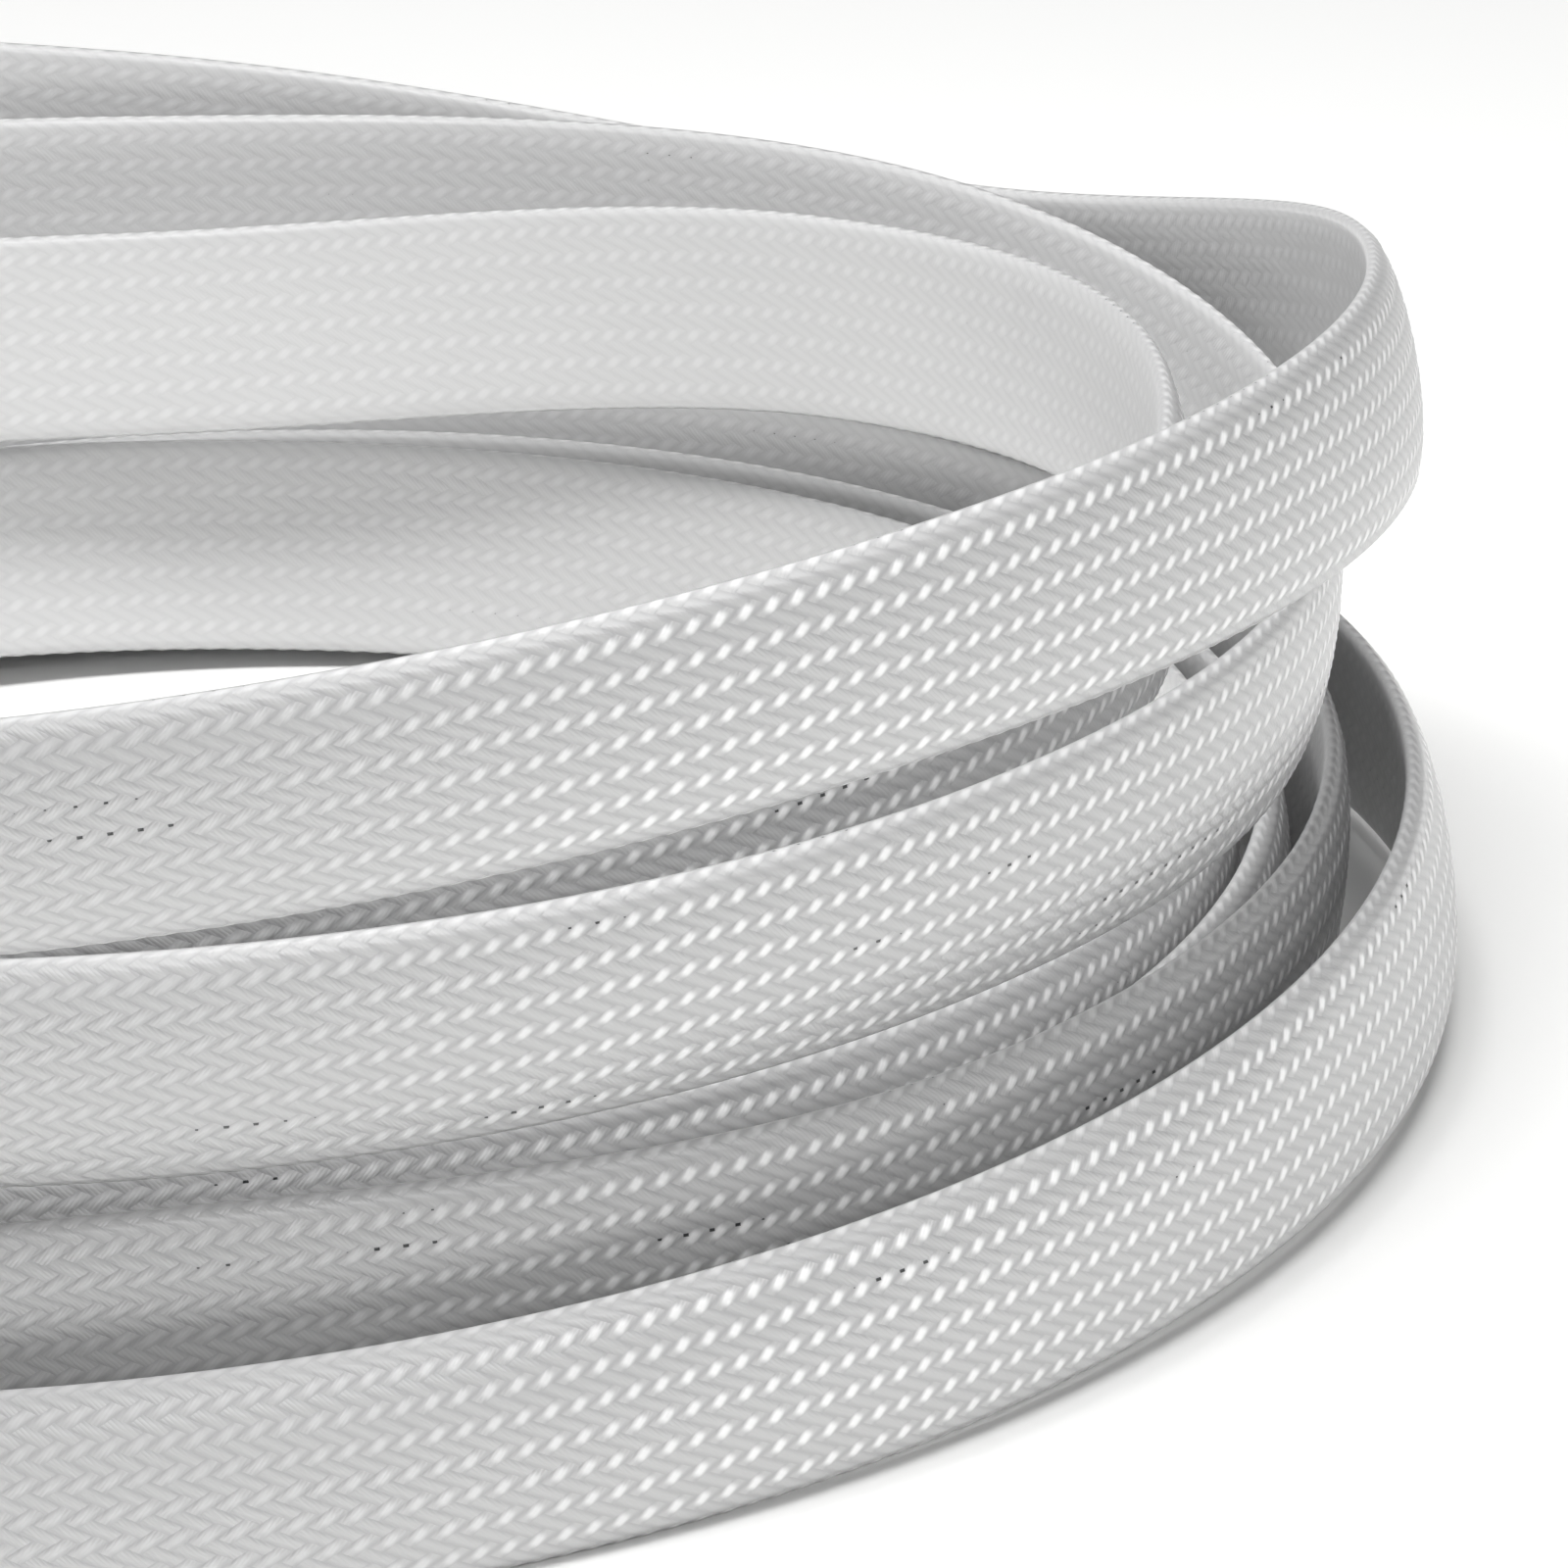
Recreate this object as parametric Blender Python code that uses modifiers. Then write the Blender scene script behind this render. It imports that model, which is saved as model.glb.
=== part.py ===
"""Braided cable sleeve: one length of flat-laid monofilament sleeve in a loose coil of separate turns.

The sleeve is one hollow tube, open at both cut ends. It stands on its edge, with its flat side facing
outwards, and its turns lie beside and above each other. The origin is at the middle of the base.
"""
import math
from typing import NamedTuple

import bmesh
import bpy
from mathutils import Vector

MM = 0.001

# Sleeve
LENGTH = 5.0
SLEEVE_WIDTH = 20.0 * MM
SLEEVE_THICKNESS = 2.8 * MM
FOLD_THICKNESS = 1.2 * MM
WALL = 0.5 * MM
CROWN = 0.8 * MM

# Coil
COIL_RADIUS = 116.5 * MM
RING_STEP = 10.0

# Where the two shoulders of the flat face lie, as a share of the half width
SHOULDER = 0.6


class Place(NamedTuple):
    """The sleeve's middle line at one bearing, bearings running left, front, right, back."""

    bearing: float  # degrees round the coil from its left side
    inset: float  # sleeve thicknesses inside the coil's radius
    height: float  # sleeve widths above the floor
    lean: float  # degrees that the upper fold leans outwards


class Turn(NamedTuple):
    """One turn of the coil, given at the bearings in TURN_BEARINGS."""

    name: str
    insets: tuple
    heights: tuple
    leans: tuple


# Front, front right, right, back right, back, left
TURN_BEARINGS = (90.0, 135.0, 180.0, 225.0, 270.0, 360.0)

TAIL_START = (Place(-80.0, -1.80, 0.49, -4.0), Place(0.0, -1.60, 0.49, -6.0))

TURNS = (
    Turn(
        "floor",
        (0.00, 0.20, 0.35, 0.00, -0.20, 0.20),
        (0.48, 0.55, 0.60, 0.57, 0.49, 0.62),
        (-10.0, -5.0, -5.0, -5.0, -5.0, -2.0),
    ),
    Turn(
        "low_outer",
        (3.75, 3.75, 3.55, 3.40, 2.85, 2.70),
        (0.99, 0.78, 0.70, 0.78, 0.64, 0.60),
        (-1.0, 3.0, 8.0, 6.0, 4.0, 2.0),
    ),
    Turn(
        "low_middle",
        (5.35, 5.35, 5.35, 5.00, 4.65, 4.80),
        (0.70, 0.57, 0.55, 0.55, 0.57, 0.60),
        (0.0, 2.0, 3.0, 4.0, 6.0, 4.0),
    ),
    Turn(
        "low_inner",
        (6.95, 6.95, 6.95, 6.80, 6.40, 8.00),
        (1.01, 0.82, 0.60, 0.54, 0.62, 1.15),
        (0.0, 2.0, 4.0, 8.0, 12.0, 4.0),
    ),
    Turn(
        "high_inner",
        (5.45, 5.60, 7.90, 8.05, 8.55, 4.80),
        (2.35, 2.45, 2.40, 2.07, 1.78, 2.30),
        (0.0, 2.0, 2.0, -4.0, 0.0, 2.0),
    ),
    Turn(
        "high_middle",
        (3.75, 3.55, 3.40, 3.40, 3.40, 1.95),
        (2.12, 2.01, 1.88, 2.08, 2.12, 2.75),
        (5.0, 11.0, 9.0, 6.0, 2.0, 0.0),
    ),
    Turn(
        "top",
        (1.80, 1.05, 0.70, 1.60, 1.25, -0.55),
        (3.22, 3.30, 2.88, 1.98, 2.36, 3.90),
        (4.0, 2.0, -7.0, -4.0, 0.0, 2.0),
    ),
)

# A sleeve longer than the chosen turns goes on upwards, this many widths a turn
EXTRA_RISE = 1.15

SLEEVE_COLOUR = (0.86, 0.87, 0.88, 1.0)


def chosen_places():
    """Return the route's places in order, followed by the turns that only a longer sleeve needs."""
    places = list(TAIL_START)
    for number, turn in enumerate(TURNS):
        for bearing, inset, height, lean in zip(TURN_BEARINGS, turn.insets, turn.heights, turn.leans):
            places.append(Place(360.0 * number + bearing, inset, height, lean))
    last = places[-1]
    extra_turns = 2 + math.ceil(LENGTH / (2.0 * math.pi * COIL_RADIUS))
    for quarter in range(1, 4 * extra_turns):
        rise = EXTRA_RISE * quarter / 4.0
        places.append(Place(last.bearing + 90.0 * quarter, last.inset, last.height + rise, 0.0))
    return places


def smooth_value(places, index, share, pick):
    """Blend one quantity between places index and index + 1 on a smooth cubic."""

    def slope(i):
        low, high = places[max(0, i - 1)], places[min(len(places) - 1, i + 1)]
        return (pick(high) - pick(low)) / (high.bearing - low.bearing)

    here, there = places[index], places[index + 1]
    span = there.bearing - here.bearing
    rise_here = 2.0 * share**3 - 3.0 * share**2 + 1.0
    rise_there = 3.0 * share**2 - 2.0 * share**3
    pull_here = share**3 - 2.0 * share**2 + share
    pull_there = share**3 - share**2
    return (
        rise_here * pick(here)
        + rise_there * pick(there)
        + span * (pull_here * slope(index) + pull_there * slope(index + 1))
    )


def route_at(places, bearing):
    """Return the middle line's point and the sleeve's lean in radians at a bearing in degrees."""
    index = 0
    while index < len(places) - 2 and bearing > places[index + 1].bearing:
        index += 1
    share = (bearing - places[index].bearing) / (places[index + 1].bearing - places[index].bearing)
    inset = smooth_value(places, index, share, lambda place: place.inset)
    height = smooth_value(places, index, share, lambda place: place.height)
    lean = smooth_value(places, index, share, lambda place: place.lean)
    radius = COIL_RADIUS - inset * SLEEVE_THICKNESS
    angle = math.radians(bearing)
    point = Vector((-radius * math.cos(angle), -radius * math.sin(angle), height * SLEEVE_WIDTH))
    return point, math.radians(lean)


def route():
    """Walk the route in equal steps of bearing until the sleeve's length is used up."""
    places = chosen_places()
    bearing = places[0].bearing
    stops = [route_at(places, bearing)]
    left = LENGTH
    while left > 0.0:
        step = RING_STEP
        stop = route_at(places, bearing + step)
        run = (stop[0] - stops[-1][0]).length
        if run >= left:
            step *= left / run
            stop = route_at(places, bearing + step)
        stops.append(stop)
        bearing += step
        left -= run
    return stops


def section_outline():
    """Return the sleeve's outline as (outwards, upwards) points, anticlockwise."""
    half = SLEEVE_WIDTH / 2.0
    shoulder = SHOULDER * half
    bulge = CROWN * (1.0 - SHOULDER**2)
    thick = SLEEVE_THICKNESS / 2.0
    fold = FOLD_THICKNESS / 2.0
    return (
        (bulge + thick, -shoulder),
        (bulge + thick, shoulder),
        (fold, half),
        (-fold, half),
        (bulge - thick, shoulder),
        (bulge - thick, -shoulder),
        (-fold, -half),
        (fold, -half),
    )


def make_curve(name, points, cyclic):
    """Make a curve object of one POLY spline through the points."""
    data = bpy.data.curves.new(name, "CURVE")
    data.dimensions = "3D"
    spline = data.splines.new("POLY")
    spline.points.add(len(points) - 1)
    for slot, point in zip(spline.points, points):
        slot.co = (*point, 1.0)
    spline.use_cyclic_u = cyclic
    return bpy.data.objects.new(name, data)


def sweep_sleeve(guides):
    """Sweep the outline along the route and return the open tube's mesh."""
    outline = make_curve("section_guide", [(x, y, 0.0) for x, y in section_outline()], True)
    outline.data.dimensions = "2D"
    outline.data.fill_mode = "NONE"
    guides.objects.link(outline)
    stops = route()
    path = make_curve("route_guide", [point for point, lean in stops], False)
    path.data.twist_mode = "Z_UP"
    path.data.bevel_mode = "OBJECT"
    path.data.bevel_object = outline
    for slot, (point, lean) in zip(path.data.splines[0].points, stops):
        slot.tilt = lean
    guides.objects.link(path)
    for guide in (outline, path):
        guide.hide_render = True
        guide.display_type = "WIRE"
    bpy.context.view_layer.update()
    graph = bpy.context.evaluated_depsgraph_get()
    return bpy.data.meshes.new_from_object(path.evaluated_get(graph))


def rest_on_floor(mesh):
    """Press the lowest fold flat where it meets the floor, and set the origin at the base's middle."""
    for vertex in mesh.vertices:
        vertex.co.z = max(vertex.co.z, 0.0)
    lows = [min(vertex.co[axis] for vertex in mesh.vertices) for axis in (0, 1)]
    highs = [max(vertex.co[axis] for vertex in mesh.vertices) for axis in (0, 1)]
    middle = Vector(((lows[0] + highs[0]) / 2.0, (lows[1] + highs[1]) / 2.0, 0.0))
    for vertex in mesh.vertices:
        vertex.co -= middle


def face_outwards(mesh):
    """Turn the open tube's faces outwards, away from its own middle line."""
    shell = bmesh.new()
    shell.from_mesh(mesh)
    bmesh.ops.remove_doubles(shell, verts=shell.verts, dist=0.01 * MM)
    ring = len(section_outline())
    first = [vertex.co for vertex in list(shell.verts)[:ring]]
    middle = sum(first, Vector()) / ring
    shell.faces.ensure_lookup_table()
    face = min(shell.faces, key=lambda item: (item.calc_center_median() - middle).length)
    face.normal_update()
    if face.normal.dot(face.calc_center_median() - middle) < 0.0:
        bmesh.ops.reverse_faces(shell, faces=shell.faces)
    shell.to_mesh(mesh)
    shell.free()


def sleeve_material():
    """Make the clear white plastic of the braid."""
    material = bpy.data.materials.new("white_monofilament")
    material.use_nodes = True
    shader = material.node_tree.nodes["Principled BSDF"]
    shader.inputs["Base Color"].default_value = SLEEVE_COLOUR
    shader.inputs["Roughness"].default_value = 0.38
    shader.inputs["Metallic"].default_value = 0.0
    return material


def build_sleeve(parts, guides):
    """Build the coiled sleeve as one hollow solid."""
    mesh = sweep_sleeve(guides)
    mesh.name = "braided_sleeve"
    face_outwards(mesh)
    rest_on_floor(mesh)
    mesh.materials.clear()
    mesh.materials.append(sleeve_material())
    mesh.shade_smooth()
    mesh.set_sharp_from_angle(angle=math.radians(40.0))
    sleeve = bpy.data.objects.new("braided_sleeve", mesh)
    parts.objects.link(sleeve)
    wall = sleeve.modifiers.new("wall", "SOLIDIFY")
    wall.thickness = WALL
    wall.offset = -1.0
    wall.use_even_offset = True
    wall.use_rim = True


def main():
    """Clear the scene and build the part."""
    for thing in list(bpy.data.objects):
        bpy.data.objects.remove(thing, do_unlink=True)
    parts = bpy.data.collections.new("braided_cable_sleeve")
    guides = bpy.data.collections.new("guides")
    for collection in (parts, guides):
        bpy.context.scene.collection.children.link(collection)
    build_sleeve(parts, guides)


main()
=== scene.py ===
"""Braided cable sleeve: white monofilament sleeve in a loose coil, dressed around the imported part.

The sleeve is modelled as its maker would describe it: strands of four filaments braided two over two into a
tube, the tube laid flat, and the flat sleeve wound into a coil of separate turns.
"""

import logging
import math
from dataclasses import dataclass
from enum import Enum
from typing import Any, Mapping, Sequence

import bpy
import numpy as np
from mathutils import Matrix, Vector


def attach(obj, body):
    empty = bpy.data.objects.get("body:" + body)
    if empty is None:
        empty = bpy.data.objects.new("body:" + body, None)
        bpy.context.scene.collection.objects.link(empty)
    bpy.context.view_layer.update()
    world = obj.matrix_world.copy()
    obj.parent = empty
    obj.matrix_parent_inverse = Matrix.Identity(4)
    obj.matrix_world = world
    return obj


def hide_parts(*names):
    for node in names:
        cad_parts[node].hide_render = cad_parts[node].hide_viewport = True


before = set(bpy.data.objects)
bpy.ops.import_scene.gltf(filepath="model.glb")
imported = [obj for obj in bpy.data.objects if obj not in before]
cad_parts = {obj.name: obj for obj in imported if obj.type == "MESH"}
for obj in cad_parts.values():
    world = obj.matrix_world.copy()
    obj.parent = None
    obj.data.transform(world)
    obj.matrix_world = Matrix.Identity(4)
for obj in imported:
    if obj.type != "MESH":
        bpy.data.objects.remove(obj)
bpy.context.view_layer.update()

MM = 0.001
SLEEVE_WIDTH = 20.0 * MM
SLEEVE_THICKNESS = 2.8 * MM
NODE = "braided_sleeve"
BODY = "root"
BRAID_UV = "braid_lattice"

# Half a column of the braid's lattice
HALF = 0.5

log = logging.getLogger("braided_cable_sleeve")


def linear_colour(srgb_hex: str) -> tuple[float, float, float, float]:
    """Turn an sRGB hex colour into the linear colour that a shader takes.

    Args:
        srgb_hex: The colour as #RRGGBB.

    Returns:
        Linear red, green and blue, and an alpha of one.
    """
    channels = [int(srgb_hex[start : start + 2], 16) / 255.0 for start in (1, 3, 5)]
    linear = [c / 12.92 if c <= 0.04045 else ((c + 0.055) / 1.055) ** 2.4 for c in channels]
    return (*linear, 1.0)


def add_node(
    tree: bpy.types.NodeTree,
    kind: str,
    inputs: Mapping[Any, Any] | None = None,
    **settings: Any,
) -> bpy.types.Node:
    """Add a node with its settings and links.

    Args:
        tree: The node tree that takes the node.
        kind: Blender's name for the type of node.
        inputs: What each input takes, by name or number: a value, a socket, or a node's first output.
        **settings: Properties of the node itself.

    Returns:
        The new node.
    """
    node = tree.nodes.new(kind)
    for name, value in settings.items():
        setattr(node, name, value)
    for key, value in (inputs or {}).items():
        if isinstance(value, bpy.types.Node):
            value = value.outputs[0]
        if isinstance(value, bpy.types.NodeSocket):
            tree.links.new(value, node.inputs[key])
        else:
            node.inputs[key].default_value = value
    return node


def calculate(tree: bpy.types.NodeTree, operation: str, *values: Any) -> bpy.types.Node:
    """Add a Math node that works on the values in their order."""
    return add_node(tree, "ShaderNodeMath", dict(enumerate(values)), operation=operation)


def calculate_vector(tree: bpy.types.NodeTree, operation: str, *values: Any) -> bpy.types.Node:
    """Add a Vector Math node that works on the values in their order."""
    return add_node(tree, "ShaderNodeVectorMath", dict(enumerate(values)), operation=operation)


def sum_of_two(tree: bpy.types.NodeTree, vector: Any) -> bpy.types.NodeSocket:
    """Return the sum of a vector's first two values."""
    return calculate_vector(tree, "DOT_PRODUCT", vector, (1.0, 1.0, 0.0)).outputs["Value"]


def blend_colours(tree: bpy.types.NodeTree, share: Any, first: Any, second: Any) -> bpy.types.NodeSocket:
    """Return the first colour with a share of the second over it."""
    colours = {"Factor": share, "A": first, "B": second}
    return add_node(tree, "ShaderNodeMix", colours, data_type="RGBA").outputs["Result"]


def fade(
    tree: bpy.types.NodeTree,
    value: Any,
    start: float,
    end: float,
    least: float = 0.0,
    most: float = 1.0,
    interpolation: str = "SMOOTHSTEP",
) -> bpy.types.Node:
    """Add a node that goes from one level to another as a value changes.

    Args:
        tree: The node tree that takes the node.
        value: The value that is read.
        start: Where the value leaves the first level.
        end: Where it reaches the second level, above or below the start.
        least: The first level.
        most: The second level.
        interpolation: Blender's name for the way between them.

    Returns:
        The new node.
    """
    limits = {"Value": value, "From Min": start, "From Max": end, "To Min": least, "To Max": most}
    return add_node(tree, "ShaderNodeMapRange", limits, interpolation_type=interpolation)


class Lay(Enum):
    """The two ways that strands run, by the column and ring where the crest of a float lies."""

    RISING = (0, 0)
    FALLING = (2, 1)

    @property
    def column(self) -> int:
        """Return the first column that carries this lay's crests."""
        return self.value[0]

    @property
    def ring(self) -> int:
        """Return the first ring that carries this lay's crests."""
        return self.value[1]


@dataclass(frozen=True)
class Turn:
    """One turn of the coil at the route's named bearings.

    Attributes:
        name: What the turn is called in the coil.
        insets: Sleeve thicknesses inside the coil's radius.
        heights: Sleeve widths above the floor, of the sleeve's middle line.
        leans: Degrees that the upper fold leans outwards.
    """

    name: str
    insets: tuple[float, ...]
    heights: tuple[float, ...]
    leans: tuple[float, ...]


@dataclass(frozen=True)
class Stretch:
    """The sleeve's middle line, ring by ring.

    Attributes:
        bearings: Degrees round the coil, running left, front, right and back.
        points: The middle line's points.
        outwards: The flat face's outward direction at each ring.
        upwards: The direction of the upper fold at each ring.
    """

    bearings: np.ndarray
    points: np.ndarray
    outwards: np.ndarray
    upwards: np.ndarray


@dataclass(frozen=True)
class CoilRoute:
    """The way the sleeve lies in the coil, with the same values as the part.

    Attributes:
        length: The sleeve's length.
        sleeve_width: The unit of the turns' heights.
        sleeve_thickness: The unit of the turns' insets.
        coil_radius: The radius that the insets are measured from.
        walk_step: Degrees between the points where the route's length is measured.
        extra_rise: Widths that a turn rises after the last named one.
        turn_bearings: Front, front right, right, back right, back and left, in degrees from the left.
        tail_start: Bearing, inset, height and lean where the sleeve starts.
        turns: The turns from the floor upwards.
    """

    length: float = 5.0
    sleeve_width: float = SLEEVE_WIDTH
    sleeve_thickness: float = SLEEVE_THICKNESS
    coil_radius: float = 116.5 * MM
    walk_step: float = 0.25
    extra_rise: float = 1.15
    turn_bearings: tuple[float, ...] = (90.0, 135.0, 180.0, 225.0, 270.0, 360.0)
    tail_start: tuple[tuple[float, ...], ...] = (
        (-80.0, -1.80, 0.49, -4.0),
        (0.0, -1.60, 0.49, -6.0),
    )
    turns: tuple[Turn, ...] = (
        Turn(
            "floor",
            (0.00, 0.20, 0.35, 0.00, -0.20, 0.20),
            (0.48, 0.55, 0.60, 0.57, 0.49, 0.62),
            (-10.0, -5.0, -5.0, -5.0, -5.0, -2.0),
        ),
        Turn(
            "low_outer",
            (3.75, 3.75, 3.55, 3.40, 2.85, 2.70),
            (0.99, 0.78, 0.70, 0.78, 0.64, 0.60),
            (-1.0, 3.0, 8.0, 6.0, 4.0, 2.0),
        ),
        Turn(
            "low_middle",
            (5.35, 5.35, 5.35, 5.00, 4.65, 4.80),
            (0.70, 0.57, 0.55, 0.55, 0.57, 0.60),
            (0.0, 2.0, 3.0, 4.0, 6.0, 4.0),
        ),
        Turn(
            "low_inner",
            (6.95, 6.95, 6.95, 6.80, 6.40, 8.00),
            (1.01, 0.82, 0.60, 0.54, 0.62, 1.15),
            (0.0, 2.0, 4.0, 8.0, 12.0, 4.0),
        ),
        Turn(
            "high_inner",
            (5.45, 5.60, 7.90, 8.05, 8.55, 4.80),
            (2.35, 2.45, 2.40, 2.07, 1.78, 2.30),
            (0.0, 2.0, 2.0, -4.0, 0.0, 2.0),
        ),
        Turn(
            "high_middle",
            (3.75, 3.55, 3.40, 3.40, 3.40, 1.95),
            (2.12, 2.01, 1.88, 2.08, 2.12, 2.75),
            (5.0, 11.0, 9.0, 6.0, 2.0, 0.0),
        ),
        Turn(
            "top",
            (1.80, 1.05, 0.70, 1.60, 1.25, -0.55),
            (3.22, 3.30, 2.88, 1.98, 2.36, 3.90),
            (4.0, 2.0, -7.0, -4.0, 0.0, 2.0),
        ),
    )

    def _places(self) -> np.ndarray:
        """Return the chosen places in order, as rows of bearing, inset, height and lean."""
        rows = [list(place) for place in self.tail_start]
        for number, turn in enumerate(self.turns):
            for place in zip(self.turn_bearings, turn.insets, turn.heights, turn.leans):
                rows.append([360.0 * number + place[0], *place[1:]])
        bearing, inset, height, _ = rows[-1]
        extra_turns = 2 + math.ceil(self.length / (2.0 * math.pi * self.coil_radius))
        for quarter in range(1, 4 * extra_turns):
            rows.append([bearing + 90.0 * quarter, inset, height + self.extra_rise * quarter / 4.0, 0.0])
        return np.array(rows)

    def _points_and_leans(self, bearings: np.ndarray) -> tuple[np.ndarray, np.ndarray]:
        """Blend the chosen places on smooth cubics.

        Args:
            bearings: Where the route is wanted, in degrees.

        Returns:
            The middle line's points, and the sleeve's lean in radians.
        """
        places = self._places()
        at, values = places[:, 0], places[:, 1:]
        slopes = np.empty_like(values)
        slopes[1:-1] = (values[2:] - values[:-2]) / (at[2:] - at[:-2])[:, None]
        slopes[0] = (values[1] - values[0]) / (at[1] - at[0])
        slopes[-1] = (values[-1] - values[-2]) / (at[-1] - at[-2])
        here = np.clip(np.searchsorted(at, bearings, side="left") - 1, 0, len(at) - 2)
        span = (at[here + 1] - at[here])[:, None]
        share = (bearings[:, None] - at[here][:, None]) / span
        blend = (
            (2.0 * share**3 - 3.0 * share**2 + 1.0) * values[here]
            + (3.0 * share**2 - 2.0 * share**3) * values[here + 1]
            + (share**3 - 2.0 * share**2 + share) * span * slopes[here]
            + (share**3 - share**2) * span * slopes[here + 1]
        )
        inset, height, lean = blend.T
        radius = self.coil_radius - inset * self.sleeve_thickness
        angle = np.radians(bearings)
        middle = (-radius * np.cos(angle), -radius * np.sin(angle), height * self.sleeve_width)
        return np.stack(middle, axis=1), np.radians(lean)

    def stretch(self, ring_spacing: float) -> Stretch:
        """Walk the route in equal steps of length.

        Args:
            ring_spacing: The step along the sleeve that is wanted, made a little longer or shorter to fit.

        Returns:
            The middle line with its cross directions, one ring after another.
        """
        turns_of_bearing = 360.0 * (len(self.turns) + 1)
        walk = np.arange(self.tail_start[0][0], turns_of_bearing, self.walk_step)
        route, _ = self._points_and_leans(walk)
        run = np.concatenate(((0.0,), np.cumsum(np.linalg.norm(np.diff(route, axis=0), axis=1))))
        steps = int(round(self.length / ring_spacing))
        bearings = np.interp(np.linspace(0.0, self.length, steps + 1), run, walk)
        points, leans = self._points_and_leans(bearings)
        ahead, _ = self._points_and_leans(bearings + self.walk_step)
        behind, _ = self._points_and_leans(bearings - self.walk_step)
        along = ahead - behind
        along /= np.linalg.norm(along, axis=1)[:, None]
        up = np.array((0.0, 0.0, 1.0)) - along[:, 2:3] * along
        up /= np.linalg.norm(up, axis=1)[:, None]
        out = np.cross(along, up)
        cos, sin = np.cos(leans)[:, None], np.sin(leans)[:, None]
        return Stretch(bearings, points, out * cos - up * sin, up * cos + out * sin)


@dataclass(frozen=True)
class FlatSection:
    """The section of a round sleeve that is laid flat, so that its two folds stay a little open.

    Attributes:
        width: From fold to fold.
        thickness: Across the two walls and the room between them.
        wall: The thickness of the braid.
        crown: How far the middle stands out past the folds.
        squareness: The power of the rounded outline, two for an ellipse and more for flatter sides.
        samples: Points on the fine outline that the section's points are read from.
    """

    width: float = SLEEVE_WIDTH
    thickness: float = SLEEVE_THICKNESS
    wall: float = 0.5 * MM
    crown: float = 0.8 * MM
    squareness: float = 2.6
    samples: int = 2048

    def outline(self, count: int, inset: float = 0.0) -> tuple[np.ndarray, np.ndarray]:
        """Share points out evenly round the section, from the lower fold up the outer face.

        Args:
            count: How many points are wanted.
            inset: How far inside the outer surface they lie.

        Returns:
            The points and their outward normals, each as (outwards, upwards).
        """
        half = self.width / 2.0
        angle = np.linspace(-math.pi / 2.0, 1.5 * math.pi, self.samples + 1)
        power = 2.0 / self.squareness
        cos, sin = np.cos(angle), np.sin(angle)
        up = (half - inset) * np.sign(sin) * np.abs(sin) ** power
        bulge = self.crown * (1.0 - (up / half) ** 2)
        out = bulge + (self.thickness / 2.0 - inset) * np.sign(cos) * np.abs(cos) ** power
        loop = np.stack((out, up), axis=1)
        run = np.concatenate(((0.0,), np.cumsum(np.linalg.norm(np.diff(loop, axis=0), axis=1))))
        wanted = run[-1] * np.arange(count) / count
        points = np.stack([np.interp(wanted, run, loop[:, axis]) for axis in (0, 1)], axis=1)
        sides = np.roll(points, -1, axis=0) - np.roll(points, 1, axis=0)
        sides /= np.linalg.norm(sides, axis=1)[:, None]
        return points, np.stack((sides[:, 1], -sides[:, 0]), axis=1)

    def girth(self) -> float:
        """Return the length once round the section."""
        points, _ = self.outline(self.samples)
        return float(np.linalg.norm(points - np.roll(points, 1, axis=0), axis=1).sum())


@dataclass(frozen=True)
class TwoByTwoBraid:
    """A regular braid, two over and two under, on a lattice of columns round and rings along the sleeve.

    A strand moves by one column from ring to ring, half of the strands each way. A float lies over two
    strands, so its crest comes again after four columns.

    Attributes:
        strands: Strands in the braid, and columns round the sleeve.
        filaments: Filaments in a strand, side by side.
        angle: Degrees between a strand and the sleeve.
        crest: The height of a float's middle over the plain surface.
        saddle: The height between two floats of a row.
        groove: The height between two rows.
        inner_relief: The share of these heights that the inner face keeps.
        float_columns: Columns from one row of crests to the next of the same lay.
    """

    strands: int = 64
    filaments: int = 4
    angle: float = 29.4
    crest: float = 0.10 * MM
    saddle: float = 0.02 * MM
    groove: float = -0.02 * MM
    inner_relief: float = 0.4
    float_columns: int = 4

    def ring_spacing(self, girth: float) -> float:
        """Return the step along the sleeve in which a strand moves by one column."""
        return girth / self.strands / math.tan(math.radians(self.angle))

    def relief(self, rings: np.ndarray) -> np.ndarray:
        """Raise each float's crest and sink the grooves between its rows.

        Args:
            rings: The numbers of the rings.

        Returns:
            The height over the plain surface, by ring and column.
        """
        columns = np.arange(self.strands)
        height = np.full((len(rings), len(columns)), self.groove)
        for lay in Lay:
            rows = columns % self.float_columns == lay.column
            crests = rings % 2 == lay.ring
            height[:, rows] = np.where(crests, self.crest, self.saddle)[:, None]
        height[:, self.strands // 2 :] *= self.inner_relief
        return height


@dataclass(frozen=True)
class BraidPlace:
    """Where a shaded point lies on the braid, in columns of the lattice unless it says otherwise.

    Attributes:
        position: The point in the coil's own coordinates, in metres.
        lattice: The point's numbers among the rising and the falling strands.
        off: How far it lies from the nearest crossing.
        falling: One where the falling strand is on top, and zero elsewhere.
        run: How far it lies along the strand from the crest of its float.
        across: How far it lies from the middle of the strand.
        slanted: How far it lies from a line that slants across the strand as its filaments do.
        outer_face: One on the outer face of the coil, and less on the inner face.
    """

    position: bpy.types.NodeSocket
    lattice: bpy.types.Node
    off: bpy.types.Node
    falling: bpy.types.Node
    run: bpy.types.Node
    across: bpy.types.Node
    slanted: bpy.types.Node
    outer_face: bpy.types.Node


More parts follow.
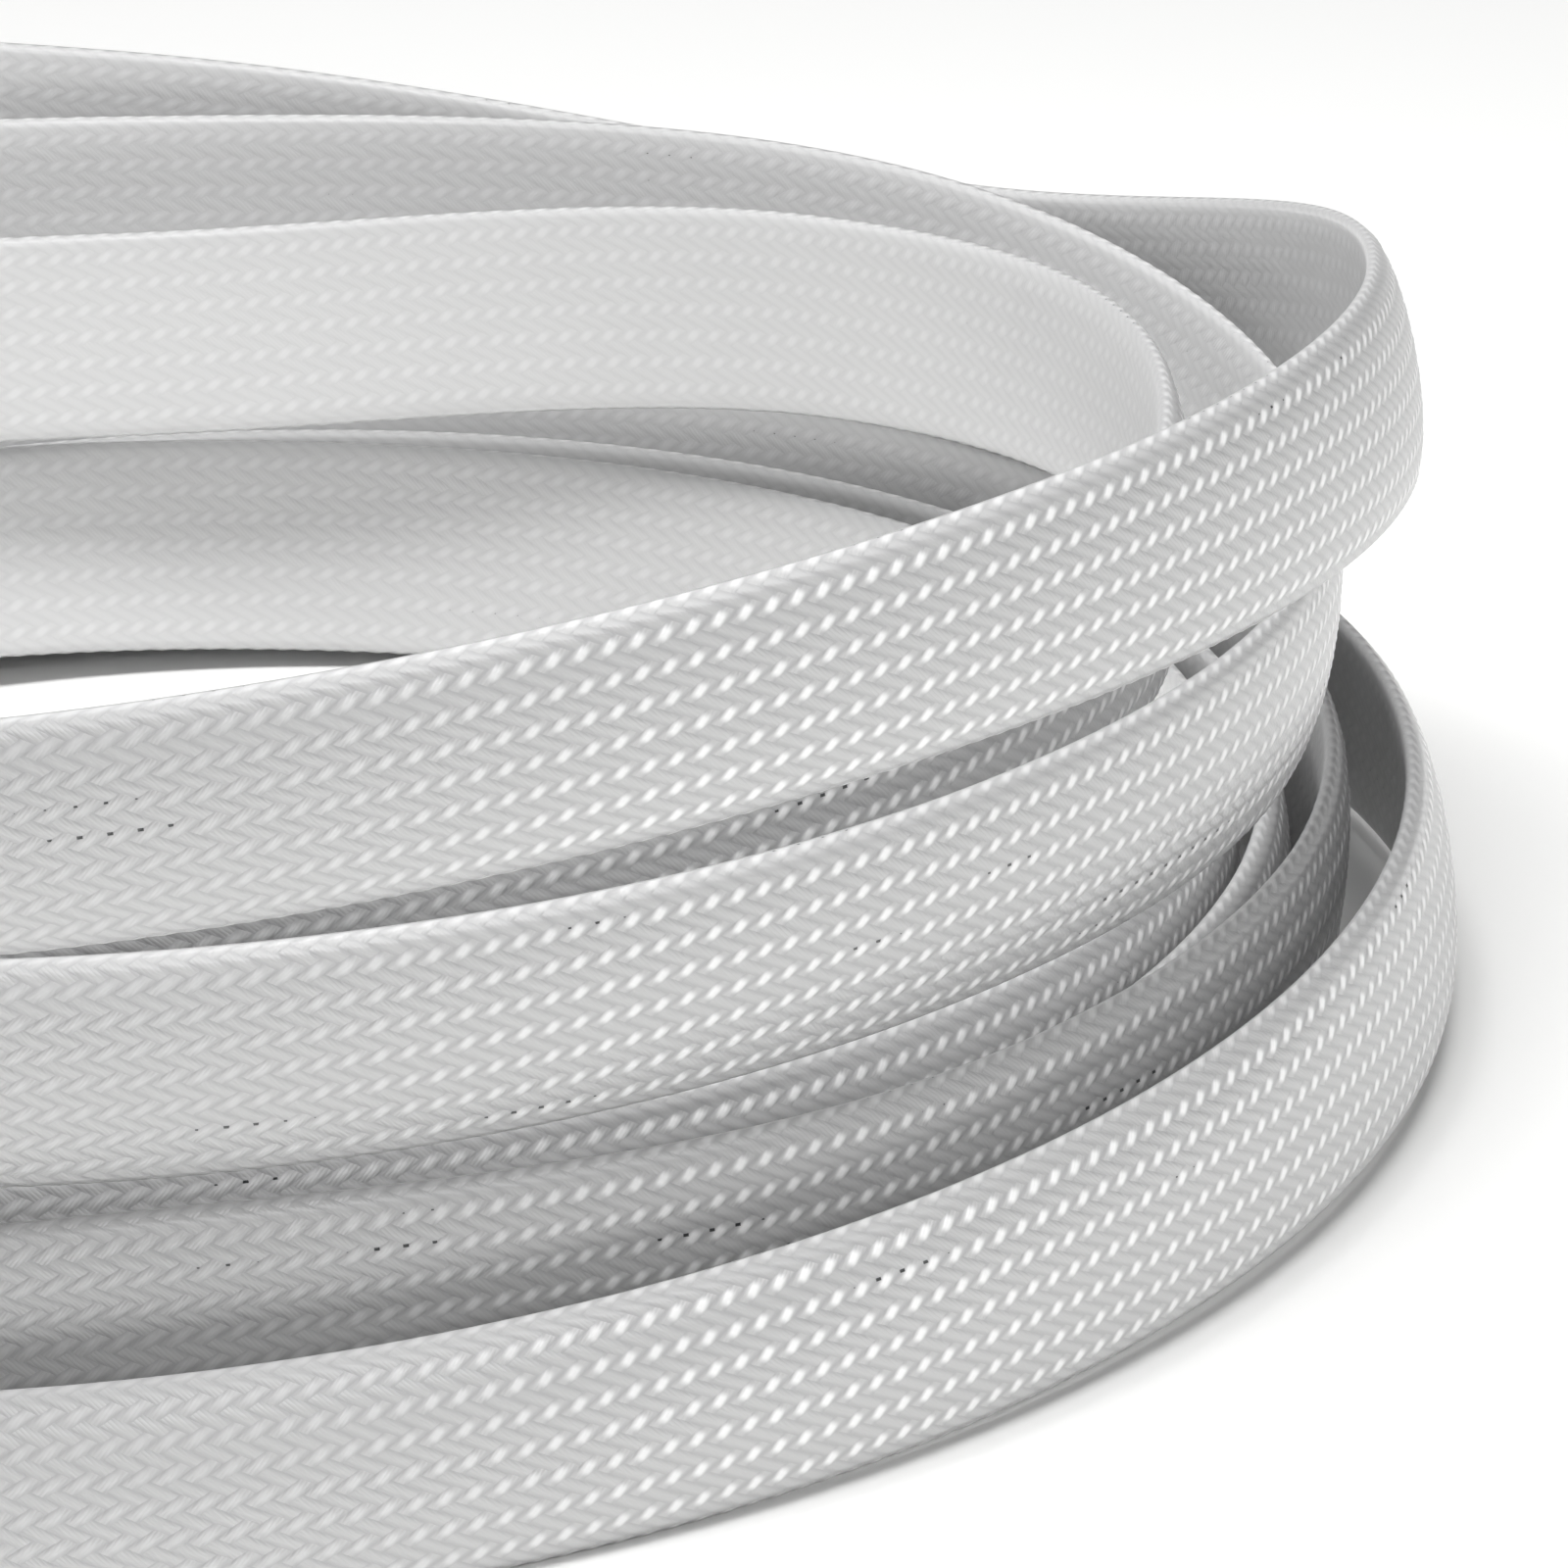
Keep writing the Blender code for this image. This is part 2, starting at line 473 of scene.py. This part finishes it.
@dataclass(frozen=True)
class MonofilamentBraid:
    """Natural PET monofilament, extruded clear and braided.

    The clear filaments scatter light between them, so the sleeve reads as a soft milky grey white, with
    darker lines between its floats, painted shade along each strand's edges. The rising floats lie across
    the light, and each throws a short bright shine. Most of it is a painted highlight drawn into the colour,
    as soft lamps raise little of it from the relief. The painted highlight is weaker near one place at the
    coil's front, where the floats don't lie across the light, and on the inner face, where the relief is
    softer too.

    Attributes:
        name: The material's name.
        white: The colour along the middle of a strand.
        painted_highlight_white: The colour of the drawn shine.
        edge: The painted shade between two strands.
        pinhole: The colour in the small gap at a crossing, painted shade for the tube's dark inside.
        ior: The refraction of PET.
        roughness: The roughness of the plastic.
        gloss: The strength of its reflection.
        coat: How much of a smooth skin the filaments have.
        coat_ior: The refraction of the skin, set high for the filaments' glints.
        coat_roughness: The roughness of the skin.
        float_height: The height of a float's pillow in the relief.
        filament_height: The height of a filament in the relief.
        filament_slant: Columns across for each column along, of the filaments on a float.
        edge_start: Columns from the strand's middle where the painted shade of its edge begins.
        dash_reach: Half the length of the drawn shine, in columns along the strand.
        dash_core: The part of that in full shine.
        dash_width: Half the width of the drawn shine, in columns.
        dash_middle: The part of that in full shine.
        dash_least: The share of the shine that stays where it is dim.
        dim_place: The place on the floor plan where the painted highlight is weakest.
        dim_reach: How far from it the shine stays dim.
        bright_reach: How far from it the shine is full.
        inner_relief: The share of the relief that the inner face keeps.
        fold_blend: Columns on each side of a fold in which the relief changes.
        pinhole_size: How far an open pinhole reaches from its crossing, in columns.
        patch_start: The noise level where pinholes begin to open.
        patch_full: The noise level where they are fully open.
        patch_size: The size of the patches with pinholes.
        patch_flatness: How much flatter than wide a patch is.
    """

    name: str = "pet_monofilament_braid"
    white: str = "#C5C5C5"
    painted_highlight_white: str = "#FFFFFF"
    edge: str = "#B4B4B5"
    pinhole: str = "#1E2022"
    ior: float = 1.57
    roughness: float = 0.35
    gloss: float = 0.7
    coat: float = 0.6
    coat_ior: float = 1.8
    coat_roughness: float = 0.28
    float_height: float = 0.065 * MM
    filament_height: float = 0.015 * MM
    filament_slant: float = -0.34
    edge_start: float = 0.12
    dash_reach: float = 0.80
    dash_core: float = 0.20
    dash_width: float = 0.48
    dash_middle: float = 0.10
    dash_least: float = 0.14
    dim_place: tuple[float, float] = (-6.0 * MM, -115.0 * MM)
    dim_reach: float = 18.0 * MM
    bright_reach: float = 72.0 * MM
    inner_relief: float = 0.35
    fold_blend: float = 2.0
    pinhole_size: float = 0.20
    patch_start: float = 0.655
    patch_full: float = 0.70
    patch_size: float = 24.0 * MM
    patch_flatness: float = 4.0

    def material(self, braid: TwoByTwoBraid) -> bpy.types.Material:
        """Draw the floats and their filaments on the braid's own lattice.

        Args:
            braid: The braid whose strands the mesh's UV map numbers.

        Returns:
            The material.
        """
        material = bpy.data.materials.new(self.name)
        material.use_nodes = True
        tree = material.node_tree
        shader = tree.nodes["Principled BSDF"]
        place = self._place(tree, braid)

        relief = {"Height": self._height(tree, place, braid), "Strength": 1.0, "Distance": MM}
        bump = add_node(tree, "ShaderNodeBump", relief)
        for skin in ("Normal", "Coat Normal"):
            tree.links.new(bump.outputs["Normal"], shader.inputs[skin])

        colour = linear_colour(self.white)
        # Painted shade: each strand darkens towards its edges, in the groove where it meets the next.
        colour = blend_colours(tree, self._painted_groove_shade(tree, place), colour, linear_colour(self.edge))
        # Painted highlight: a short white shine on each rising float, weaker near the coil's front and on
        # the inner face.
        colour = blend_colours(tree, self._painted_highlight(tree, place), colour, linear_colour(self.painted_highlight_white))
        # Painted shade: the tube's dark inside, seen through small gaps at a few crossings.
        colour = blend_colours(tree, self._pinholes(tree, place, braid), colour, linear_colour(self.pinhole))
        tree.links.new(colour, shader.inputs["Base Color"])

        constants = {
            "Roughness": self.roughness,
            "IOR": self.ior,
            "Specular IOR Level": self.gloss,
            "Coat Weight": self.coat,
            "Coat Roughness": self.coat_roughness,
            "Coat IOR": self.coat_ior,
        }
        for socket, value in constants.items():
            shader.inputs[socket].default_value = value
        return material

    def _place(self, tree: bpy.types.NodeTree, braid: TwoByTwoBraid) -> BraidPlace:
        """Find out from the UV map which strand is on top and where on its float a point lies.

        Args:
            tree: The material's node tree.
            braid: The braid whose strands the UV map numbers.

        Returns:
            The point's place on the braid.
        """
        over = braid.float_columns / 2.0
        lattice = add_node(tree, "ShaderNodeUVMap", uv_map=BRAID_UV)
        shifted = calculate_vector(tree, "ADD", lattice, (HALF, HALF, 0.0))
        nearest = calculate_vector(tree, "FLOOR", shifted)
        off = calculate_vector(tree, "SUBTRACT", lattice, nearest)
        crossing = sum_of_two(tree, nearest)
        step = calculate(tree, "FLOORED_MODULO", crossing, float(braid.float_columns))
        falling = calculate(tree, "GREATER_THAN", step, over - HALF)
        second = calculate(tree, "FLOORED_MODULO", step, over)

        parts = add_node(tree, "ShaderNodeSeparateXYZ", {0: off})
        off_rising, off_falling = parts.outputs["X"], parts.outputs["Y"]
        along = add_node(tree, "ShaderNodeMix", {"Factor": falling, "A": off_falling, "B": off_rising})
        across = add_node(tree, "ShaderNodeMix", {"Factor": falling, "A": off_rising, "B": off_falling})
        from_start = calculate(tree, "ADD", along, second)
        run = calculate(tree, "SUBTRACT", from_start, HALF)
        slanted = calculate(tree, "MULTIPLY_ADD", run, self.filament_slant, across)

        fold = braid.strands / 2.0
        outer_face = fade(
            tree,
            sum_of_two(tree, lattice),
            fold + self.fold_blend,
            fold - self.fold_blend,
            least=self.inner_relief,
            interpolation="LINEAR",
        )
        position = add_node(tree, "ShaderNodeTexCoord").outputs["Object"]
        return BraidPlace(position, lattice, off, falling, run, across, slanted, outer_face)

    def _height(self, tree: bpy.types.NodeTree, place: BraidPlace, braid: TwoByTwoBraid) -> bpy.types.Node:
        """Arch each float over the strands that it crosses, with its filaments side by side.

        Args:
            tree: The material's node tree.
            place: The point's place on the braid.
            braid: The braid.

        Returns:
            The height over the mesh in millimetres.
        """
        arch = calculate(tree, "COSINE", calculate(tree, "MULTIPLY", place.run, math.pi / 2.0))
        ridge = calculate(tree, "COSINE", calculate(tree, "MULTIPLY", place.across, math.pi))
        pillow = calculate(tree, "MULTIPLY", arch, ridge)
        pillow_height = calculate(tree, "MULTIPLY", pillow, self.float_height / MM)
        wave = calculate(tree, "SINE", calculate(tree, "MULTIPLY", place.slanted, math.pi * braid.filaments))
        filament = calculate(tree, "ABSOLUTE", wave)
        height = calculate(tree, "MULTIPLY_ADD", filament, self.filament_height / MM, pillow_height)
        return calculate(tree, "MULTIPLY", height, place.outer_face)

    def _painted_groove_shade(self, tree: bpy.types.NodeTree, place: BraidPlace) -> bpy.types.Node:
        """Return the share of the painted shade, which grows from the strand's middle to its edge."""
        from_middle = calculate(tree, "ABSOLUTE", place.across)
        return calculate(tree, "MULTIPLY", fade(tree, from_middle, self.edge_start, HALF), place.outer_face)

    def _painted_highlight(self, tree: bpy.types.NodeTree, place: BraidPlace) -> bpy.types.Node:
        """Paint a short highlight, a bright dash, on each rising float.

        Args:
            tree: The material's node tree.
            place: The point's place on the braid.

        Returns:
            The share of the painted highlight's colour.
        """
        from_crest = calculate(tree, "ABSOLUTE", place.run)
        from_dash = calculate(tree, "ABSOLUTE", place.slanted)
        ground = calculate_vector(tree, "MULTIPLY", place.position, (1.0, 1.0, 0.0))
        from_dim = calculate_vector(tree, "DISTANCE", ground, (*self.dim_place, 0.0)).outputs["Value"]
        shine = calculate(tree, "SUBTRACT", 1.0, place.falling)
        for share in (
            fade(tree, from_crest, self.dash_reach, self.dash_core),
            fade(tree, from_dash, self.dash_width, self.dash_middle),
            fade(tree, from_dim, self.dim_reach, self.bright_reach, least=self.dash_least),
            place.outer_face,
            place.outer_face,
        ):
            shine = calculate(tree, "MULTIPLY", shine, share)
        return shine

    def _pinholes(self, tree: bpy.types.NodeTree, place: BraidPlace, braid: TwoByTwoBraid) -> bpy.types.Node:
        """Paint one crossing in four as a small gap, in a few flat patches of the sleeve; the gaps are the
        braid's own, their dark colour is painted shade of the tube's inside.

        Args:
            tree: The material's node tree.
            place: The point's place on the braid.
            braid: The braid.

        Returns:
            One in a pinhole, and zero elsewhere.
        """
        reach = sum_of_two(tree, calculate_vector(tree, "ABSOLUTE", place.off))
        flattened = calculate_vector(tree, "MULTIPLY", place.position, (1.0, 1.0, self.patch_flatness))
        noise = {"Vector": flattened, "Scale": 1.0 / self.patch_size, "Detail": 1.0}
        patches = add_node(tree, "ShaderNodeTexNoise", noise)
        opened = fade(
            tree, patches, self.patch_start, self.patch_full, most=self.pinhole_size, interpolation="LINEAR"
        )
        margin = calculate(tree, "MULTIPLY_ADD", opened, place.outer_face, reach)
        at_corner = calculate(tree, "GREATER_THAN", margin, 1.0)
        cell = sum_of_two(tree, calculate_vector(tree, "FLOOR", place.lattice))
        cell_step = calculate(tree, "FLOORED_MODULO", cell, float(braid.float_columns))
        chosen = calculate(tree, "LESS_THAN", cell_step, HALF)
        return calculate(tree, "MULTIPLY", at_corner, chosen)


@dataclass
class CoiledSleeve:
    """The whole sleeve, made turn by turn so that each piece's mesh stays light and keeps its relief.

    Attributes:
        route: The way the sleeve lies.
        section: Its flat section.
        braid: Its braid, whose strands are the columns of the outer surface.
        finish: Its material.
        liner_columns: Points round the inner surface.
        liner_step: Rings of the outer surface for each ring of the inner one.
        path_step: Rings between the points of a turn's path; not used.
        sharp_angle: Degrees between two faces past which their edge is sharp.
    """

    route: CoilRoute
    section: FlatSection
    braid: TwoByTwoBraid
    finish: MonofilamentBraid
    liner_columns: int = 16
    liner_step: int = 4
    path_step: int = 16
    sharp_angle: float = 75.0

    def __post_init__(self) -> None:
        """Walk the route once and set out the outer surface, centred on the coil's middle in plan."""
        self.line = self.route.stretch(self.braid.ring_spacing(self.section.girth()))
        self.pieces: list[bpy.types.Object] = []
        rings = np.arange(len(self.line.bearings))
        self.outer = self._rings(self.braid.strands, 0.0, rings, self.braid.relief(rings))
        low, high = self.outer.min(axis=(0, 1)), self.outer.max(axis=(0, 1))
        self.middle = np.array(((low[0] + high[0]) / 2.0, (low[1] + high[1]) / 2.0, 0.0))
        self.outer -= self.middle

    def _rings(
        self, columns: int, inset: float, rings: np.ndarray, relief: np.ndarray | float
    ) -> np.ndarray:
        """Set the section's points round the middle line.

        Args:
            columns: How many points each ring has.
            inset: How far inside the outer surface they lie.
            rings: The numbers of the rings.
            relief: The height over that surface, one value or one for each point.

        Returns:
            The points by ring and column, none of them below the floor.
        """
        points, normals = self.section.outline(columns, inset)
        raised = points[None] + normals[None] * np.broadcast_to(relief, (len(rings), columns))[..., None]
        middle = self.line.points[rings][:, None]
        out, up = self.line.outwards[rings][:, None], self.line.upwards[rings][:, None]
        placed = middle + raised[..., :1] * out + raised[..., 1:] * up
        placed[..., 2] = np.maximum(placed[..., 2], 0.0)
        return placed

    def _cuts(self) -> list[int]:
        """Return the rings where one turn ends and the next begins, at the coil's left side."""
        starts = [360.0 * number for number in range(1, len(self.route.turns))]
        inner = [int(np.searchsorted(self.line.bearings, bearing)) for bearing in starts]
        return [0, *inner, len(self.line.bearings) - 1]

    @staticmethod
    def _cells(rings: int, columns: int) -> tuple[np.ndarray, np.ndarray, np.ndarray]:
        """Return the ring and the column of each cell of a tube, and the column beside it."""
        ring, column = np.meshgrid(np.arange(rings), np.arange(columns), indexing="ij")
        return ring.ravel(), column.ravel(), (column.ravel() + 1) % columns

    def _rims(self, last_outer: int, first_inner: int, last_inner: int) -> list[list[int]]:
        """Close the two cut ends between the outer surface and the liner.

        Args:
            last_outer: The first point of the outer surface's last ring.
            first_inner: The first point of the liner's first ring.
            last_inner: The first point of the liner's last ring.

        Returns:
            The corners of the faces, at the start and then at the end.
        """
        liner = self.liner_columns
        per_liner = self.braid.strands // liner
        rims = []
        for outer, inner, at_end in ((0, first_inner, False), (last_outer, last_inner, True)):
            for cell in range(liner):
                edge = [cell * per_liner + offset for offset in range(per_liner + 1)]
                corners = [outer + item % self.braid.strands for item in edge]
                corners += [inner + (cell + 1) % liner, inner + cell]
                rims.append(corners[::-1] if at_end else corners)
        return rims

    def _rim_columns(self) -> list[int]:
        """Return the columns of the rims' corners, in the same order."""
        per_liner = self.braid.strands // self.liner_columns
        start = []
        end = []
        for cell in range(self.liner_columns):
            columns = [cell * per_liner + offset for offset in range(per_liner + 1)]
            columns += [(cell + 1) * per_liner, cell * per_liner]
            start += columns
            end += columns[::-1]
        return start + end

    def _turn_mesh(self, name: str, first: int, last: int) -> bpy.types.Mesh:
        """Make one turn as a closed tube with an outer surface, a liner and two cut ends.

        Args:
            name: The mesh's name.
            first: The turn's first ring.
            last: The turn's last ring.

        Returns:
            The mesh, whose UV map numbers the rising strands along U and the falling ones along V.
        """
        strands, liner = self.braid.strands, self.liner_columns
        per_liner = strands // liner
        rings = np.arange(first, last + 1)
        inner_rings = np.append(np.arange(first, last, self.liner_step), last)
        outer = self.outer[rings]
        inner = self._rings(liner, self.section.wall, inner_rings, 0.0) - self.middle
        points = np.concatenate((outer.reshape(-1, 3), inner.reshape(-1, 3)))

        ring, column, beside = self._cells(len(rings) - 1, strands)
        here, ahead = ring * strands, (ring + 1) * strands
        skin = np.stack((here + column, ahead + column, ahead + beside, here + beside), axis=1)
        skin_columns = np.stack((column, column, column + 1, column + 1), axis=1)
        skin_rings = np.stack((ring, ring + 1, ring + 1, ring), axis=1) + first

        base = len(rings) * strands
        ring, column, beside = self._cells(len(inner_rings) - 1, liner)
        here, ahead = base + ring * liner, base + (ring + 1) * liner
        lining = np.stack((here + column, here + beside, ahead + beside, ahead + column), axis=1)
        lining_columns = np.stack((column, column + 1, column + 1, column), axis=1) * per_liner
        lining_rings = inner_rings[np.stack((ring, ring, ring + 1, ring + 1), axis=1)]

        rims = self._rims(base - strands, base, base + (len(inner_rings) - 1) * liner)
        rim_columns = self._rim_columns()
        rim_rings = np.repeat((first, last), len(rim_columns) // 2)

        loops = np.concatenate((skin.ravel(), lining.ravel(), np.ravel(rims)))
        sizes = np.concatenate((np.full(len(skin) + len(lining), 4), np.full(len(rims), len(rims[0]))))
        starts = np.concatenate(((0,), np.cumsum(sizes)[:-1]))
        mesh = bpy.data.meshes.new(name)
        mesh.vertices.add(len(points))
        mesh.vertices.foreach_set("co", points.astype(np.float32).ravel())
        mesh.loops.add(len(loops))
        mesh.loops.foreach_set("vertex_index", loops.astype(np.int32))
        mesh.polygons.add(len(sizes))
        mesh.polygons.foreach_set("loop_start", starts.astype(np.int32))
        mesh.update(calc_edges=True)

        across = np.concatenate((skin_columns.ravel(), lining_columns.ravel(), rim_columns)) + HALF
        along = np.concatenate((skin_rings.ravel(), lining_rings.ravel(), rim_rings)) + HALF
        lattice = np.stack((across - along, across + along), axis=1) / 2.0
        mesh.uv_layers.new(name=BRAID_UV).data.foreach_set("uv", lattice.astype(np.float32).ravel())
        mesh.shade_smooth()
        mesh.set_sharp_from_angle(angle=math.radians(self.sharp_angle))
        return mesh

    def build(self) -> None:
        """Make the turns' meshes as objects at the origin."""
        cuts = self._cuts()
        for turn, first, last in zip(self.route.turns, cuts[:-1], cuts[1:]):
            mesh = self._turn_mesh(f"sleeve_{turn.name}_turn", first, last)
            piece = bpy.data.objects.new(mesh.name, mesh)
            bpy.context.scene.collection.objects.link(piece)
            self.pieces.append(piece)

    def dress(self) -> None:
        """Give every turn the braid's finish."""
        material = self.finish.material(self.braid)
        for piece in self.pieces:
            piece.data.materials.append(material)

    def fit(self) -> None:
        """Stand the turns in for the part's plain sleeve: hang each on the part's root and hide the plain
        sleeve.
        """
        cuts = self._cuts()
        for piece, first, last in zip(self.pieces, cuts[:-1], cuts[1:]):
            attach(piece, BODY)
            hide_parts(NODE)

    def report(self) -> None:
        """Log each turn's name and size."""
        for piece in self.pieces:
            log.info("%s: %d faces", piece.name, len(piece.data.polygons))


@dataclass
class StudioFloor:
    """A plain pale floor, far larger than the coil."""

    size: float = 8.0
    colour: str = "#F4F4F3"
    roughness: float = 0.85

    def build(self) -> None:
        """Add the floor under the coil."""
        bpy.ops.object.select_all(action="DESELECT")
        bpy.ops.mesh.primitive_plane_add(size=self.size, location=(0.0, 0.0, 0.0))
        floor = bpy.context.object
        floor.name = "studio_floor"
        material = bpy.data.materials.new("matt_white_card")
        material.use_nodes = True
        shader = material.node_tree.nodes["Principled BSDF"]
        shader.inputs["Base Color"].default_value = linear_colour(self.colour)
        shader.inputs["Roughness"].default_value = self.roughness
        floor.data.materials.append(material)


@dataclass(frozen=True)
class SoftLight:
    """One large soft lamp that looks at the coil.

    Attributes:
        name: What the lamp is called.
        place: Where it hangs.
        size: The width and depth of its face.
        power: Its output in watts.
        leaves_shine: Whether it shows in glossy surfaces.
    """

    name: str
    place: tuple[float, float, float]
    size: tuple[float, float]
    power: float
    leaves_shine: bool

    def build(self, aim: Vector) -> None:
        """Hang the lamp and turn it towards a point."""
        data = bpy.data.lights.new(self.name, "AREA")
        data.shape = "RECTANGLE"
        data.size, data.size_y = self.size
        data.energy = self.power
        lamp = bpy.data.objects.new(self.name, data)
        lamp.location = self.place
        lamp.visible_glossy = self.leaves_shine
        lamp.visible_camera = False
        lamp.rotation_euler = (aim - Vector(self.place)).to_track_quat("-Z", "Y").to_euler()
        bpy.context.scene.collection.objects.link(lamp)


@dataclass
class Studio:
    """The lamps and the pale room round the coil.

    Attributes:
        lamps: A strip whose shine the filaments show, and fills that leave none.
        aim: The point that the lamps look at.
        room: The colour of the room.
        room_strength: How brightly the room shines.
    """

    lamps: Sequence[SoftLight] = (
        SoftLight("strip_key", (0.60, -0.97, 0.80), (1.8, 0.12), 4.0, True),
        SoftLight("front_fill", (0.35, -1.20, 0.46), (0.5, 0.3), 3.7, False),
        SoftLight("left_back_key", (-1.2, 0.8, 0.8), (1.0, 1.0), 16.0, False),
        SoftLight("overhead_fill", (0.0, 0.10, 1.40), (1.4, 1.4), 2.4, False),
        SoftLight("back_fill", (0.2, 1.4, 0.8), (1.0, 1.0), 2.5, False),
        SoftLight("bowl_fill", (0.0, -0.10, 0.55), (0.5, 0.15), 3.6, False),
    )
    aim: tuple[float, float, float] = (0.0, 0.0, 30.0 * MM)
    room: str = "#F5F6F8"
    room_strength: float = 0.03

    def build(self) -> None:
        """Hang the lamps, light the room and leave the colours as they are rendered."""
        for lamp in self.lamps:
            lamp.build(Vector(self.aim))
        scene = bpy.context.scene
        world = bpy.data.worlds.new("studio_room")
        scene.world = world
        world.use_nodes = True
        background = world.node_tree.nodes["Background"]
        background.inputs["Color"].default_value = linear_colour(self.room)
        background.inputs["Strength"].default_value = self.room_strength
        scene.view_settings.view_transform = "Standard"


@dataclass(frozen=True)
class PhotographCamera:
    """The photograph's viewpoint: close to the coil's right front, a little above it, through a long lens.

    Attributes:
        aim: The point in the middle of the picture.
        distance: From the camera to that point.
        elevation: Degrees that the camera looks down.
        roll: Degrees that the picture is turned.
        focal_pixels: The focal length in pixels of the photograph.
        frame_pixels: The photograph's width in pixels.
        sensor: The sensor's width in millimetres.
        nearest: Where the camera begins to see.
        farthest: Where it ends.
    """

    aim: tuple[float, float, float] = (62.9 * MM, -1.25 * MM, 21.4 * MM)
    distance: float = 1050.0 * MM
    elevation: float = 21.0
    roll: float = 4.0
    focal_pixels: float = 12300.0
    frame_pixels: float = 1600.0
    sensor: float = 36.0
    nearest: float = 0.05
    farthest: float = 50.0

    def build(self) -> None:
        """Set the camera up and make it the scene's own."""
        data = bpy.data.cameras.new("photograph_camera")
        data.sensor_width = self.sensor
        data.lens = self.sensor * self.focal_pixels / self.frame_pixels
        data.clip_start = self.nearest
        data.clip_end = self.farthest
        camera = bpy.data.objects.new("photograph_camera", data)
        tilt, roll = math.radians(self.elevation), math.radians(self.roll)
        forward = Vector((0.0, math.cos(tilt), -math.sin(tilt)))
        level_right = Vector((1.0, 0.0, 0.0))
        level_up = level_right.cross(forward)
        right = level_right * math.cos(roll) - level_up * math.sin(roll)
        up = level_right * math.sin(roll) + level_up * math.cos(roll)
        turn = Matrix((right, up, -forward)).transposed().to_4x4()
        camera.matrix_world = Matrix.Translation(Vector(self.aim) - forward * self.distance) @ turn
        bpy.context.scene.collection.objects.link(camera)
        bpy.context.scene.camera = camera


def main() -> None:
    """Build the camera, the sleeve, the floor and the light, in that order."""
    logging.basicConfig(level=logging.INFO, format="%(name)s: %(message)s")
    PhotographCamera().build()
    sleeve = CoiledSleeve(CoilRoute(), FlatSection(), TwoByTwoBraid(), MonofilamentBraid())
    sleeve.build()
    sleeve.dress()
    sleeve.fit()
    sleeve.report()
    StudioFloor().build()
    Studio().build()


if __name__ == "__main__":
    main()
